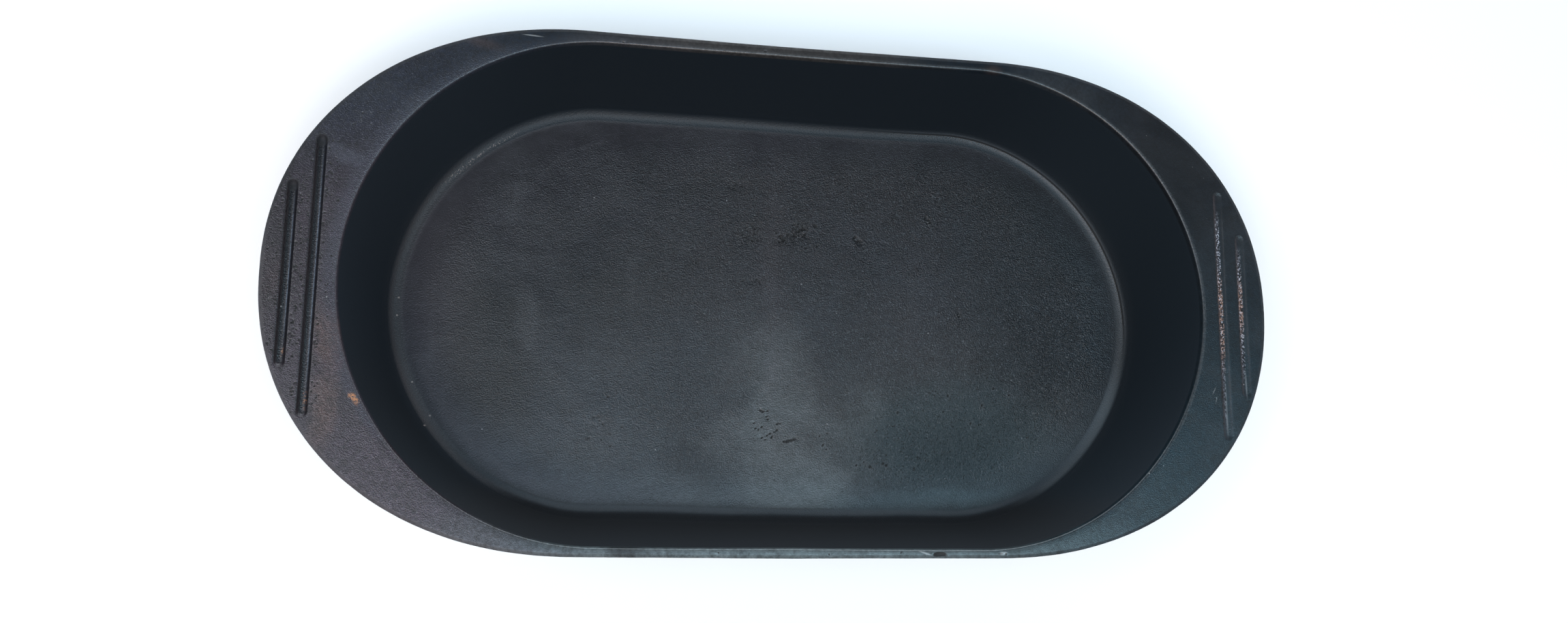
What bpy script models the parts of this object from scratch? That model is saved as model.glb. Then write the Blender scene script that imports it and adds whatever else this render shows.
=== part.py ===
"""Oval cast-iron baking pan: one casting, made as lofted rings of a capped oval.

Frame: metres, +Z up. The origin is on the table, under the middle of the pan.
X runs along the pan, from end flange to end flange, and Y across it.
"""
import math

import bmesh
import bpy

# ---------------------------------------------------------------- dimensions
# Flat top face: it is the wall's own edge along the sides and widens into a
# crescent-shaped flange at each end, which serves as a handle.
FLANGE_HALF_LENGTH = 0.2000
FLANGE_HALF_WIDTH = 0.1020
FLANGE_STRAIGHT_HALF = 0.0828
FLANGE_POWER = 2.14
FLANGE_THICKNESS = 0.0060
FLANGE_EDGE_RADIUS = 0.0012

# Mouth of the cavity, at the top face.
MOUTH_HALF_LENGTH = 0.1726
MOUTH_HALF_WIDTH = 0.0981
MOUTH_STRAIGHT_HALF = 0.0751
MOUTH_POWER = 1.98
MOUTH_EDGE_RADIUS = 0.0012

# Outline in which the drafted wall would meet the cooking floor if there
# were no fillet between them.
FOOT_HALF_LENGTH = 0.1628
FOOT_HALF_WIDTH = 0.0880
FOOT_STRAIGHT_HALF = 0.0769
FOOT_POWER = 1.93

OVERALL_HEIGHT = 0.0570
BASE_THICKNESS = 0.0050
WALL_THICKNESS = 0.0035
FLOOR_FILLET = 0.0080
BASE_EDGE_RADIUS = 0.0100
UNDER_FLANGE_FILLET = 0.0040

# Two finger grooves in the top of each end flange, straight and across the
# pan: a long one nearer the cavity and a short one nearer the edge.
GROOVE_WIDTH = 0.0038
GROOVE_DEPTH = 0.0014
LONG_GROOVE_X = 0.1812
LONG_GROOVE_HALF_LENGTH = 0.0526
SHORT_GROOVE_X = 0.1903
SHORT_GROOVE_HALF_LENGTH = 0.0345

# Divisions of the mesh.
CAP_SEGMENTS = 40
SIDE_SEGMENTS = 6

IRON_COLOUR = (0.030, 0.036, 0.040, 1.0)


# ---------------------------------------------------------------- outlines
def signed_power(value, power):
    return math.copysign(abs(value) ** power, value)


def oval(half_length, half_width, straight_half, power, z):
    """Closed loop of points: two superelliptic caps and two straight sides."""
    reach = half_length - straight_half
    loop = []
    for side in (1.0, -1.0):
        for i in range(CAP_SEGMENTS):
            a = -math.pi / 2 + math.pi * i / CAP_SEGMENTS
            x = straight_half + reach * signed_power(math.cos(a), 2 / power)
            y = half_width * signed_power(math.sin(a), 2 / power)
            loop.append((side * x, side * y, z))
        for i in range(SIDE_SEGMENTS):
            x = straight_half * (1 - 2 * i / SIDE_SEGMENTS)
            loop.append((side * x, side * half_width, z))
    return loop


def flange_loop(inset, z):
    return oval(FLANGE_HALF_LENGTH - inset, FLANGE_HALF_WIDTH - inset,
                FLANGE_STRAIGHT_HALF, FLANGE_POWER, z)


def mix(a, b, t):
    return a + (b - a) * t


def wall_loop(outset, z):
    """The drafted wall's outline at height z, moved outwards by outset."""
    t = (z - BASE_THICKNESS) / (OVERALL_HEIGHT - BASE_THICKNESS)
    return oval(mix(FOOT_HALF_LENGTH, MOUTH_HALF_LENGTH, t) + outset,
                mix(FOOT_HALF_WIDTH, MOUTH_HALF_WIDTH, t) + outset,
                mix(FOOT_STRAIGHT_HALF, MOUTH_STRAIGHT_HALF, t),
                mix(FOOT_POWER, MOUTH_POWER, t), z)


DRAFT = math.atan2(MOUTH_HALF_WIDTH - FOOT_HALF_WIDTH,
                   OVERALL_HEIGHT - BASE_THICKNESS)


def corner_rings(radius, z_flat, outset, steps):
    """Rings of a round corner between a level face and the drafted wall."""
    centre = radius * math.tan(DRAFT) - radius / math.cos(DRAFT)
    rings = []
    for i in range(steps + 1):
        a = mix(-math.pi / 2, -DRAFT, i / steps)
        rise = radius + radius * math.sin(a)
        across = centre + radius * math.cos(a)
        z = z_flat + rise
        # wall_loop already leans outwards with height: take that lean off
        rings.append(wall_loop(outset + across - rise * math.tan(DRAFT), z))
    return rings


def toward(loop_a, loop_b, distance, most):
    """Each point of loop_a moved towards loop_b, by at most a share of the gap."""
    out = []
    for a, b in zip(loop_a, loop_b):
        gap = math.dist(a[:2], b[:2])
        t = min(most, distance / gap)
        out.append((mix(a[0], b[0], t), mix(a[1], b[1], t), a[2]))
    return out


# ---------------------------------------------------------------- the casting
def casting_rings():
    """Rings from the middle of the underside, over the rim, to the floor."""
    top = OVERALL_HEIGHT
    under = OVERALL_HEIGHT - FLANGE_THICKNESS
    rings = corner_rings(BASE_EDGE_RADIUS, 0.0, WALL_THICKNESS, 4)
    # outer wall up to the small fillet under the flange
    fillet_z = under - UNDER_FLANGE_FILLET
    rings.append(wall_loop(WALL_THICKNESS, fillet_z))
    for i in range(1, 3):
        a = math.pi / 2 * i / 2
        step = UNDER_FLANGE_FILLET * (1 - math.cos(a))
        z = fillet_z + UNDER_FLANGE_FILLET * math.sin(a)
        ring = toward(wall_loop(WALL_THICKNESS, z), flange_loop(FLANGE_EDGE_RADIUS, z),
                      step, 0.45 * i / 2)
        rings.append(ring)
    # flange: underside, rounded edge, top face
    r = FLANGE_EDGE_RADIUS
    for i in range(3):
        a = math.pi / 2 * i / 2
        rings.append(flange_loop(r - r * math.sin(a), under + r - r * math.cos(a)))
    for i in range(3):
        a = math.pi / 2 * i / 2
        rings.append(flange_loop(r - r * math.cos(a), top - r + r * math.sin(a)))
    # rounded mouth of the cavity
    r = MOUTH_EDGE_RADIUS
    for i in range(3):
        a = math.pi / 2 * i / 2
        rings.append(wall_loop(r - r * math.sin(a), top - r + r * math.cos(a)))
    # inner wall and the fillet at its foot
    rings += reversed(corner_rings(FLOOR_FILLET, BASE_THICKNESS, 0.0, 4))
    return rings


def loft(name, rings):
    """Skin between the rings, closed with a flat face at both ends."""
    bm = bmesh.new()
    loops = [[bm.verts.new(p) for p in ring] for ring in rings]
    count = len(loops[0])
    for low, high in zip(loops, loops[1:]):
        for i in range(count):
            j = (i + 1) % count
            bm.faces.new((low[i], low[j], high[j], high[i]))
    bm.faces.new(list(reversed(loops[0])))
    bm.faces.new(loops[-1])
    bmesh.ops.recalc_face_normals(bm, faces=bm.faces)
    mesh = bpy.data.meshes.new(name)
    bm.to_mesh(mesh)
    bm.free()
    mesh.shade_smooth()
    mesh.set_sharp_from_angle(angle=math.radians(35))
    return mesh


def groove_cutter(name, x, half_length):
    """A round-ended rod, lying across the pan and sunk into the flange top."""
    half = GROOVE_WIDTH / 2
    radius = (half * half + GROOVE_DEPTH * GROOVE_DEPTH) / (2 * GROOVE_DEPTH)
    sides, cap_rings = 20, 5
    rings = []
    for i in range(2 * cap_rings):
        end = -1 if i < cap_rings else 1
        k = i if end < 0 else 2 * cap_rings - 1 - i
        a = math.pi / 2 * (k + 0.6) / (cap_rings - 0.4)
        y = end * (half_length - half + radius * math.cos(a))
        rings.append([(radius * math.sin(a) * math.cos(2 * math.pi * (j + 0.5) / sides), y,
                       radius * math.sin(a) * math.sin(2 * math.pi * (j + 0.5) / sides))
                      for j in range(sides)])
    cutter = bpy.data.objects.new(name, loft(name, rings))
    cutter.location = (x, 0.0, OVERALL_HEIGHT - GROOVE_DEPTH + radius)
    cutter.hide_render = True
    cutter.display_type = 'WIRE'
    bpy.context.scene.collection.objects.link(cutter)
    return cutter


def iron_material():
    material = bpy.data.materials.new("cast_iron")
    material.use_nodes = True
    shader = material.node_tree.nodes["Principled BSDF"]
    shader.inputs["Base Color"].default_value = IRON_COLOUR
    shader.inputs["Roughness"].default_value = 0.55
    shader.inputs["Metallic"].default_value = 0.6
    return material


def build():
    for obj in list(bpy.data.objects):
        bpy.data.objects.remove(obj, do_unlink=True)
    pan = bpy.data.objects.new("pan_casting", loft("pan_casting", casting_rings()))
    pan.data.materials.append(iron_material())
    bpy.context.scene.collection.objects.link(pan)
    grooves = (("long_groove", LONG_GROOVE_X, LONG_GROOVE_HALF_LENGTH),
               ("short_groove", SHORT_GROOVE_X, SHORT_GROOVE_HALF_LENGTH))
    for label, x, half_length in grooves:
        for end, sign in (("left", -1), ("right", 1)):
            cutter = groove_cutter(f"{label}_{end}_cutter", sign * x, half_length)
            cutter.parent = pan
            cut = pan.modifiers.new(f"{label}_{end}", 'BOOLEAN')
            cut.operation = 'DIFFERENCE'
            cut.solver = 'EXACT'
            cut.object = cutter


build()
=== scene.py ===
"""Looks of the oval cast-iron baking pan: skin of the casting, its finish, the light and the camera."""
import math

import bmesh
import bpy
import numpy as np
from mathutils import Matrix, Vector, noise
from mathutils.geometry import delaunay_2d_cdt
from mathutils.kdtree import KDTree


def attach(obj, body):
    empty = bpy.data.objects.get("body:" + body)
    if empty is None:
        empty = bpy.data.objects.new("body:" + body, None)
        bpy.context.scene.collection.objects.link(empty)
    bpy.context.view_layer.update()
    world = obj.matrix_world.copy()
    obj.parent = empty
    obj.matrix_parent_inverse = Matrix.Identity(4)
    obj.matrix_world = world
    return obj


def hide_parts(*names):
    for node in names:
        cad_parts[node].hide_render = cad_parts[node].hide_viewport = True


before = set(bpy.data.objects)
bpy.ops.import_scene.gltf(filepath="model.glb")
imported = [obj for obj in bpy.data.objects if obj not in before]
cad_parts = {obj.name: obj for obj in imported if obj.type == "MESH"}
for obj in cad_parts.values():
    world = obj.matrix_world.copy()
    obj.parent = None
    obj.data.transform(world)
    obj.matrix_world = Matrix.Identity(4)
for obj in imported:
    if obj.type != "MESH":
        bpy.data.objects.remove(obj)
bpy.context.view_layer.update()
MM = 0.001
rng = np.random.default_rng(20)

# ---------------------------------------------------------------- dimensions, mm
TOP, BASE = 57.0, 5.0
FLANGE = (200.0, 102.0, 82.8, 2.14)     # half length, half width, straight half, power
MOUTH = (172.6, 98.1, 75.1, 1.98)
FOOT = (162.8, 88.0, 76.9, 1.93)        # where the wall would meet the floor without its fillet
FLANGE_THICK, EDGE_R, EDGE_R_LOW = 6.0, .8, 1.8
MOUTH_R = .75
FLOOR_R, FLOOR_R_NEAR, BASE_R = 4.4, 6.0, 10.0   # the fillet is wider along the near side
WALL = 3.5
N_CAP, N_SIDE = 240, 128
N = 2 * (N_CAP + N_SIDE)
DRAFT = math.atan2(MOUTH[1] - FOOT[1], TOP - BASE)

# The wander of a sand casting: how far each outline strays from its oval, in mm,
# as (harmonic, cosine part, sine part) round the pan.
FLANGE_WANDER = ((1, -.16, .41), (3, .18, .45), (4, -.03, -.07), (5, .14, .07))
MOUTH_WANDER = ((1, -.12, -.33), (3, .03, .18), (4, -.04, 0.), (5, -.03, .14))
FOOT_WANDER = ((0, -1.20, 0.), (1, .15, -1.10), (2, -.70, -.25), (3, .21, .09), (4, 0., .10), (5, 0., .09))

# Grooves: x, half length, middle in y
GROOVES = ((-181.2, 52.9, .4), (-190.3, 35.0, .4), (181.2, 52.2, -1.0), (190.3, 34.2, -1.2))
GROOVE_SHARE = (1.0, 1.0, .42, .42)     # the pair on the right is worn shallower
GROOVE_W, GROOVE_D = 1.9, 1.4           # half width and depth


def wander(table, angle):
    out = np.zeros_like(angle)
    for k, c, s in table:
        out += c * np.cos(k * angle) + s * np.sin(k * angle)
    return out


def oval(shape, grow, step=1):
    """Closed loop of points, (count, 2): two superelliptic caps and two straight sides."""
    half_length, half_width, straight, power = shape
    a = -math.pi / 2 + math.pi * np.arange(0, N_CAP, step) / N_CAP
    cx = straight + (half_length + grow - straight) * np.abs(np.cos(a)) ** (2 / power)
    cy = (half_width + grow) * np.sign(np.sin(a)) * np.abs(np.sin(a)) ** (2 / power)
    sx = straight * (1 - 2 * np.arange(0, N_SIDE, step) / N_SIDE)
    sy = np.full(len(sx), half_width + grow)
    half = np.stack([np.r_[cx, sx], np.r_[cy, sy]], 1)
    return np.concatenate([half, -half])


def strayed(loop, table, share=1.0):
    r = np.hypot(loop[:, 0], loop[:, 1])
    return loop * (1 + share * wander(table, np.arctan2(loop[:, 1], loop[:, 0])) / r)[:, None]


def flange_loop(grow, z, step=1):
    return np.c_[strayed(oval(FLANGE, grow, step), FLANGE_WANDER), np.full(N // step, z)]


def wall_loop(grow, z, step=1):
    """The drafted wall's outline at height z, moved outwards by grow."""
    t = (z - BASE) / (TOP - BASE)
    shape = tuple(f + (m - f) * t for f, m in zip(FOOT, MOUTH))
    loop = oval(shape, grow, step)
    a = np.arctan2(loop[:, 1], loop[:, 0])
    r = np.hypot(loop[:, 0], loop[:, 1])
    stray = (1 - t) * wander(FOOT_WANDER, a) + t * wander(MOUTH_WANDER, a)
    return np.c_[loop * (1 + stray / r)[:, None], np.full(N // step, z)]


def corner_loops(radius, z_flat, grow, count, step=1):
    """Round corner between a level face and the drafted wall, from the level face up."""
    centre = radius * math.tan(DRAFT) - radius / math.cos(DRAFT)
    out = []
    for i in range(count + 1):
        a = -math.pi / 2 + (math.pi / 2 - DRAFT) * i / count
        rise = radius + radius * math.sin(a)
        across = centre + radius * math.cos(a)
        out.append(wall_loop(grow + across - rise * math.tan(DRAFT), z_flat + rise, step))
    return out


# ---------------------------------------------------------------- a skin of points and faces
class Skin:
    def __init__(self):
        self.points, self.faces, self.count = [], [], 0

    def add(self, pts):
        first = self.count
        self.points.append(np.asarray(pts, float))
        self.count += len(pts)
        return np.arange(first, self.count)

    def at(self, index):
        return np.concatenate(self.points)[index]

    def strip(self, a, b):
        """Faces between two closed loops. b may have half the points of a."""
        if len(a) == len(b):
            an, bn = np.roll(a, -1), np.roll(b, -1)
            self.faces += np.stack([a, an, bn, b], 1).tolist()
            return
        a0, a1, a2 = a[0::2], a[1::2], np.roll(a[0::2], -1)
        b1 = np.roll(b, -1)
        self.faces += np.stack([a0, a1, b], 1).tolist()
        self.faces += np.stack([a1, b1, b], 1).tolist()
        self.faces += np.stack([a1, a2, b1], 1).tolist()

    def fill(self, loops, inner):
        """Triangles between closed loops, through the inner points."""
        inner_index = self.add(inner)
        index = np.concatenate(list(loops) + [inner_index])
        flat = self.at(index)[:, :2]
        tag = np.concatenate([np.full(len(l), k) for k, l in enumerate(loops)] + [np.full(len(inner_index), -1)])
        edges, first = [], 0
        for l in loops:
            edges += [(first + i, first + (i + 1) % len(l)) for i in range(len(l))]
            first += len(l)
        # in decimetres, so that the tolerance stays far below the spacing
        made = delaunay_2d_cdt([Vector(p) for p in flat / 100], edges, [], 0, 1e-7)
        back = [o[0] for o in made[3]]
        tri = np.array([[back[i] for i in f] for f in made[2]])
        t = tag[tri]
        same = (t[:, 0] >= 0) & (t[:, 0] == t[:, 1]) & (t[:, 1] == t[:, 2])
        keep = ~same
        for row in np.nonzero(same)[0]:
            c = flat[tri[row]].mean(0)
            # an odd number of crossings over all loops means inside
            odd, first = False, 0
            for l in loops:
                p = flat[first:first + len(l)]
                q = np.roll(p, -1, 0)
                hit = (p[:, 1] > c[1]) != (q[:, 1] > c[1])
                with np.errstate(divide="ignore", invalid="ignore"):
                    x = p[:, 0] + (c[1] - p[:, 1]) / (q[:, 1] - p[:, 1]) * (q[:, 0] - p[:, 0])
                odd ^= bool((hit & (x > c[0])).sum() % 2)
                first += len(l)
            keep[row] = odd
        self.faces += index[tri[keep]].tolist()
        return inner_index


def hexes(half_x, half_y, pitch):
    rows = np.arange(-half_y, half_y + pitch, pitch * math.sqrt(3) / 2)
    pts = []
    for i, y in enumerate(rows):
        x = np.arange(-half_x, half_x + pitch, pitch) + (pitch / 2 if i % 2 else 0)
        pts.append(np.stack([x, np.full(len(x), y)], 1))
    pts = np.concatenate(pts)
    return pts + rng.uniform(-.12, .12, pts.shape) * pitch


def inside(pts, loop, margin):
    """Points inside a star-shaped loop by at least margin."""
    a = np.arctan2(loop[:, 1], loop[:, 0])
    order = np.argsort(a)
    r = np.hypot(loop[:, 0], loop[:, 1])[order]
    limit = np.interp(np.arctan2(pts[:, 1], pts[:, 0]), a[order], r, period=2 * math.pi)
    return np.hypot(pts[:, 0], pts[:, 1]) < limit - margin


def clear_of(pts, spots, radii):
    """Mask of pts farther from every spot than its radius."""
    keep = np.ones(len(pts), bool)
    for s, r in zip(spots, radii):
        keep &= np.hypot(*(pts - s).T) > r
    return keep


# ---------------------------------------------------------------- pits, dents and nicks
# Each is (x, y, half length, half width, direction in degrees, depth, raised rim), mm.
PITS = []


def scatter(cx, cy, sx, sy, count, size, depth, turn=20, rim=0.0):
    """A loose cluster of small casting pits."""
    for _ in range(count):
        x, y = cx + rng.normal() * sx, cy + rng.normal() * sy
        long = size * rng.uniform(.6, 1.5)
        PITS.append((x, y, long, long * rng.uniform(.4, .85), turn + rng.normal() * 35,
                     depth * rng.uniform(.5, 1.2), rim))


def pits(places, size, depth, turn=20, rim=0.0, slim=.55):
    """Single pits at given places."""
    for x, y in places:
        long = size * rng.uniform(.75, 1.3)
        PITS.append((x, y, long, long * slim * rng.uniform(.8, 1.2), turn + rng.normal() * 14,
                     depth * rng.uniform(.8, 1.2), rim))


# cooking floor: the deep cluster above the middle and its smaller neighbours
scatter(11.5, 38.0, 3.4, 2.6, 13, .85, .36, 35, .5)
scatter(3.0, 34.6, 1.9, 1.1, 6, .75, .32, 40, .5)
scatter(-12.5, 35.5, 4.0, 3.0, 8, .55, .20, 30, .4)
scatter(-18.0, 57.0, 3.2, 1.2, 4, .50, .20, 10, .4)
scatter(-9.0, 14.5, 2.6, .9, 4, .55, .22, 10, .4)
scatter(-35.0, 22.0, 1.2, 1.0, 2, .50, .20, 30, .4)
pits([(35.6, 36.2), (37.4, 34.6), (39.8, 31.6)], .85, .32, 15, .5)
pits([(68.2, 46.9), (70.2, 44.9), (69.6, 45.9)], .70, .28, 60, .5)
scatter(68.5, 64.0, 2.0, 1.0, 4, .50, .20, 40, .5)
scatter(92.0, 60.0, 6.0, 1.5, 8, .45, .18, 30, .5)
scatter(74.0, 55.5, 9.0, 2.5, 12, .42, .16, 40, .5)
pits([(83.0, 3.7), (83.6, 2.6)], .70, .28, 60, .5)
pits([(99.0, 75.7), (32.4, 40.3), (1.0, -70.9)], .40, .20)
# below the middle: a spray of dark pits that leans to the right
pits([(-12.1, -41.4), (6.4, -30.7)], .38, .25)
pits([(-5.4, -41.6), (-4.3, -42.1), (-2.4, -41.7), (-2.7, -44.1), (-2.2, -45.3), (-8.1, -47.0),
      (-7.4, -49.3), (-6.2, -49.8), (-4.8, -48.6), (1.9, -47.2), (3.2, -47.0), (1.8, -49.8), (.9, -50.6),
      (-1.2, -51.4), (-2.4, -52.2), (-4.6, -53.2), (-.4, -52.8), (-3.2, -54.0)], .62, .34, 28, 0.0, .5)
pits([(5.0, -54.6), (6.5, -54.5), (8.0, -54.1), (9.4, -53.6)], .95, .40, 12, 0.0, .5)
# left of it, soft shallow ones
pits([(-75.8, -46.2), (-72.0, -49.0), (-73.4, -47.6), (-77.4, -54.8), (-72.3, -55.5), (-68.6, -58.0), (-82.1, -63.3),
      (-70.2, -37.5), (-64.0, -50.0)], .75, .14, 10, 0.0, .7)
# right of it, bright-edged ones
pits([(20.4, -52.0), (21.9, -55.8), (23.4, -57.6), (39.9, -62.7), (42.6, -64.7), (48.4, -63.2), (49.9, -64.0), (36.6, -64.2),
      (77.8, -33.1), (60.6, -50.3), (93.3, -36.9), (98.8, -29.2), (106.0, -32.0), (55.0, -41.0), (88.0, -45.0)],
     .60, .24, 60, .7, .7)
# loose pits in the coarse part of the floor, on the right
for _ in range(46):
    PITS.append((rng.uniform(20, 140), rng.uniform(-70, 66) * .9, rng.uniform(.35, .6), rng.uniform(.22, .4),
                 rng.uniform(0, 180), rng.uniform(.10, .2), .6))
# left flange: pores along the grooves
for (gx, gh, gy), count in zip(GROOVES[:2], (90, 74)):
    for _ in range(count):
        side = 1 if rng.random() < .60 else -1
        off = 2.5 + abs(rng.normal()) * 1.8
        PITS.append((gx + side * off, gy + rng.uniform(-gh, gh) * .98, rng.uniform(.34, .62),
                     rng.uniform(.26, .40), rng.uniform(-30, 60), rng.uniform(.16, .30), .12))
scatter(-167.0, 60.0, 5.0, 3.0, 12, .45, .16, 0, .5)
scatter(-192.0, -20.0, 2.4, 9.0, 10, .45, .16, 0, .5)
# right flange: a few knocks
scatter(176.0, -35.0, 1.2, 2.4, 4, .5, .10, 60, .3)
# top of the long sides: a blow hole, small nicks at the cavity's edge
RIM_PITS = [(57.7, -100.1, 2.7, 1.35, 4, .55, .35), (42.1, -98.9, .7, .45, 20, .3, .5), (82.6, -99.4, 1.0, .45, 15, .16, .9),
            (84.6, -99.6, .6, .35, 70, .16, .9), (-70.6, 98.7, .9, .4, 160, .2, .9), (-66.6, 98.0, .7, .4, 10, .25, .7),
            (-13.4, 99.2, .6, .35, 0, .25, .6), (80.6, 97.4, 1.0, .5, 90, .3, .3), (85.2, 96.9, .6, .4, 90, .3, .3),
            (-28.5, -99.8, .5, .3, 90, .15, .6), (14.0, -100.2, .5, .3, 90, .15, .6)]
PITS += RIM_PITS


def pit_points(spots):
    """Extra mesh points that carry the pits' shapes."""
    out = []
    for x, y, a, b, turn, depth, rim in spots:
        c, s = math.cos(math.radians(turn)), math.sin(math.radians(turn))
        out.append((x, y))
        for share, count, off in ((.55, 5, 0.), (1.0, 8, .4), (1.5, 9, .2)):
            for k in range(count):
                t = 2 * math.pi * (k + off) / count
                u, v = a * share * math.cos(t), b * share * math.sin(t)
                out.append((x + c * u - s * v, y + s * u + c * v))
    return np.array(out) if out else np.zeros((0, 2))


def pit_depth(pts):
    """Height that the pits add at each point, mm (negative is down)."""
    out = np.zeros(len(pts))
    for x, y, a, b, turn, depth, rim in PITS:
        near = np.nonzero((np.abs(pts[:, 0] - x) < 2.2 * a + .3) & (np.abs(pts[:, 1] - y) < 2.2 * a + .3))[0]
        if not len(near):
            continue
        c, s = math.cos(math.radians(turn)), math.sin(math.radians(turn))
        dx, dy = pts[near, 0] - x, pts[near, 1] - y
        q = np.hypot((c * dx + s * dy) / a, (-s * dx + c * dy) / b)
        bowl = np.where(q < 1, -(1 - q * q) ** 1.5, 0)
        lip = rim * .35 * np.exp(-((q - 1.3) / .35) ** 2)
        out[near] += depth * (bowl + lip)
    return out


def pit_mark(pts):
    """1 inside a pit, down to -1 on its raised rim."""
    out = np.zeros(len(pts))
    for x, y, a, b, turn, depth, rim in PITS:
        near = np.nonzero((np.abs(pts[:, 0] - x) < 2.2 * a + .3) & (np.abs(pts[:, 1] - y) < 2.2 * a + .3))[0]
        if not len(near):
            continue
        c, s = math.cos(math.radians(turn)), math.sin(math.radians(turn))
        dx, dy = pts[near, 0] - x, pts[near, 1] - y
        q = np.hypot((c * dx + s * dy) / a, (-s * dx + c * dy) / b)
        mark = min(1.0, depth / .25) * np.clip(1.35 - q, 0, 1) - rim * np.exp(-((q - 1.45) / .3) ** 2)
        out[near] = np.where(np.abs(mark) > np.abs(out[near]), mark, out[near])
    return out


def groove_distance(pts, groove):
    x, half, middle = groove
    dy = np.clip(pts[:, 1] - middle, -(half - GROOVE_W), half - GROOVE_W)
    return np.hypot(pts[:, 0] - x, pts[:, 1] - middle - dy)


GROOVE_R = (GROOVE_W ** 2 + GROOVE_D ** 2) / (2 * GROOVE_D)


def groove_depth(pts):
    out = np.zeros(len(pts))
    d0 = 1.72
    drop0 = math.sqrt(GROOVE_R ** 2 - d0 ** 2) - (GROOVE_R - GROOVE_D)
    slope0 = d0 / math.sqrt(GROOVE_R ** 2 - d0 ** 2)
    lip = 2 * drop0 / slope0
    for g, share in zip(GROOVES, GROOVE_SHARE):
        d = groove_distance(pts, g)
        bowl = np.sqrt(np.maximum(GROOVE_R ** 2 - np.minimum(d, d0) ** 2, 0)) - (GROOVE_R - GROOVE_D)
        t = np.clip((d - d0) / lip, 0, 1)
        # a worn groove also runs out towards its ends
        run = np.clip((g[1] - np.abs(pts[:, 1] - g[2])) / 16, 0, 1)
        run = run * run * (3 - 2 * run)
        out -= share * (run + (1 - run) * min(1, .15 + share)) * np.where(d < d0, bowl, drop0 * (1 - t) ** 2)
    return out


def groove_points():
    out = []
    for x, half, middle in GROOVES:
        run = half - GROOVE_W
        ys = np.linspace(-run, run, int(round(2 * run / .9)) + 1)
        for y in ys:
            for d in (0, .6, 1.1, 1.45, 1.72, 1.9, 2.1, 2.6):
                for side in ((-1, 1) if d else (1,)):
                    out.append((x + side * d, middle + y))
        for end in (-1, 1):
            for d, count in ((.6, 4), (1.1, 6), (1.45, 7), (1.72, 8), (1.9, 8), (2.1, 9), (2.6, 9)):
                for k in range(1, count):
                    t = math.pi * k / count
                    out.append((x + d * math.cos(t), middle + end * (run + d * math.sin(t))))
    return np.array(out)


# ---------------------------------------------------------------- the casting's skin
skin = Skin()
LOW = 2                                       # outside surfaces have half the points
bottom = [skin.add(l) for l in corner_loops(BASE_R, 0.0, WALL, 7, LOW)]
under = TOP - FLANGE_THICK
rise_z = np.linspace(BASE_R, under - 4.0, 17)[1:]
outside = bottom + [skin.add(wall_loop(WALL, z, LOW)) for z in rise_z]
for i in range(1, 6):                         # fillet under the flange
    a = math.pi / 2 * i / 5
    z = under - 4.0 + 4.0 * math.sin(a)
    w, f = wall_loop(WALL, z, LOW), flange_loop(-EDGE_R_LOW, z, LOW)
    gap = np.hypot(*(f - w)[:, :2].T)
    share = np.minimum(4.0 * (1 - math.cos(a)) / gap, .45 * i / 5)
    outside.append(skin.add(w + (f - w) * share[:, None]))
inner_edge, outer_edge = skin.at(outside[-1]), flange_loop(-EDGE_R_LOW, under, LOW)
for t in (.2, .4, .6, .8):                    # underside of the flange
    outside.append(skin.add(inner_edge + (outer_edge - inner_edge) * t))
for a, b in zip(outside, outside[1:]):
    skin.strip(a, b)
edge = []
for i in range(6):                            # rounded rim of the flange
    a = math.pi / 2 * i / 5
    edge.append(skin.add(flange_loop(-EDGE_R_LOW + EDGE_R_LOW * math.sin(a), under + EDGE_R_LOW - EDGE_R_LOW * math.cos(a))))
for i in range(6):
    a = math.pi / 2 * i / 5
    edge.append(skin.add(flange_loop(-EDGE_R + EDGE_R * math.cos(a), TOP - EDGE_R + EDGE_R * math.sin(a))))
skin.strip(edge[0], outside[-1])
for a, b in zip(edge, edge[1:]):
    skin.strip(a, b)
mouth = []
for i in range(6):                            # rounded mouth of the cavity
    a = math.pi / 2 * i / 5
    mouth.append(skin.add(wall_loop(MOUTH_R - MOUTH_R * math.sin(a), TOP - MOUTH_R + MOUTH_R * math.cos(a))))
foot = []
for tight, wide in reversed(list(zip(corner_loops(FLOOR_R, BASE, 0.0, 18), corner_loops(FLOOR_R_NEAR, BASE, 0.0, 18)))):
    off_near = np.abs(np.degrees(np.arctan2(tight[:, 1], tight[:, 0])) + 90)
    share = np.clip((64 - off_near) / 34, 0, 1)
    share = share * share * (3 - 2 * share)
    foot.append(skin.add(tight + (wide - tight) * share[:, None]))
wall_top, wall_low = skin.at(mouth[-1]), skin.at(foot[0])
wall = [skin.add(wall_top + (wall_low - wall_top) * t) for t in np.linspace(0, 1, 13)[1:-1]]
inner = mouth + wall + foot
for a, b in zip(inner, inner[1:]):
    skin.strip(a, b)

# flange top, between its rounded rim and the mouth
rim_loop, mouth_loop = skin.at(edge[-1])[:, :2], skin.at(mouth[0])[:, :2]
on_rim = ~inside(np.array([p[:2] for p in PITS]), mouth_loop, 0)
flange_pits = [p for p, top in zip(PITS, on_rim) if top]
floor_pits = [p for p, top in zip(PITS, on_rim) if not top]
pts = hexes(200, 103, 1.5)
pts = pts[inside(pts, rim_loop, .7) & ~inside(pts, mouth_loop, -.7)]
for g in GROOVES:
    pts = pts[groove_distance(pts, g) > 3.3]
extra = pit_points(flange_pits)
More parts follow.
